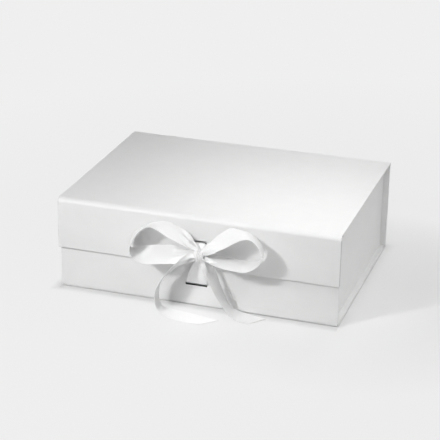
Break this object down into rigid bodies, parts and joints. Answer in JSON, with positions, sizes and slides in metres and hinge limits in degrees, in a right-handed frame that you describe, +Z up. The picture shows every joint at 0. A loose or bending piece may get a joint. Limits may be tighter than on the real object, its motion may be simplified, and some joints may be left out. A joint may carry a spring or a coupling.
{
  "type": "magnetic gift box",
  "caption": "Shut rigid gift box with hinged lid, magnetic front flap and a satin ribbon tied in a bow through slots in flap and front wall.",
  "frame": {"origin": "centre of the box's underside, in the plane of the surface it stands on", "axes": "+X along the box to the right as seen from the flap side, -Y out of the front where the bow is, +Z up out of the lid"},
  "size_m": [0.33, 0.287, 0.1105],
  "materials": {
    "cover_paper": "matt coated white art paper",
    "lining_paper": "plain white uncoated paper",
    "greyboard": "raw grey board",
    "tab_card": "white paper-faced card",
    "adhesive_tape": "double-sided tape",
    "magnet": "nickel-plated",
    "steel": "bright sheet steel",
    "satin_ribbon": "white double-faced satin"
  },
  "bodies": {
    "tray": {"base_board": "greyboard", "base_wrap": "cover_paper", "base_lining": "lining_paper", "base_spine_crease": "cover_paper", "base_front_crease": "cover_paper", "front_wall_board": "greyboard", "front_wall_wrap": "cover_paper", "front_wall_lining": "lining_paper", "steel_plate_left": "steel", "steel_plate_right": "steel", "ribbon_lower_anchor": "satin_ribbon", "spine_board": "greyboard", "spine_wrap": "cover_paper", "spine_lining": "lining_paper", "left_side_board": "greyboard", "left_side_wrap": "cover_paper", "front_left_tab": "tab_card", "back_left_tab": "tab_card", "front_left_adhesive": "adhesive_tape", "back_left_adhesive": "adhesive_tape", "right_side_board": "greyboard", "right_side_wrap": "cover_paper", "front_right_tab": "tab_card", "back_right_tab": "tab_card", "front_right_adhesive": "adhesive_tape", "back_right_adhesive": "adhesive_tape"},
    "lid": {"lid_board": "greyboard", "lid_wrap": "cover_paper", "lid_lining": "lining_paper", "spine_lid_crease": "cover_paper", "lid_flap_crease": "cover_paper"},
    "flap": {"flap_board": "greyboard", "flap_wrap": "cover_paper", "flap_lining": "lining_paper", "magnet_left": "magnet", "magnet_right": "magnet", "ribbon_upper_anchor": "satin_ribbon", "ribbon_upper_strand": "satin_ribbon", "ribbon_lower_strand": "satin_ribbon", "bow_knot": "satin_ribbon", "bow_left_loop": "satin_ribbon", "bow_right_loop": "satin_ribbon", "bow_left_tail": "satin_ribbon", "bow_right_tail": "satin_ribbon"}
  },
  "joints": [
    {"name": "lid_hinge", "type": "hinge", "parent": "tray", "child": "lid", "pos_m": [0, 0.123, 0.108], "axis": [-1, 0, 0], "range_deg": [0, 180], "deforming": ["spine_lid_crease"]},
    {"name": "flap_hinge", "type": "hinge", "parent": "lid", "child": "flap", "pos_m": [0, -0.12175, 0.10925], "axis": [-1, 0, 0], "range_deg": [0, 110], "deforming": ["lid_flap_crease"]}
  ]
}
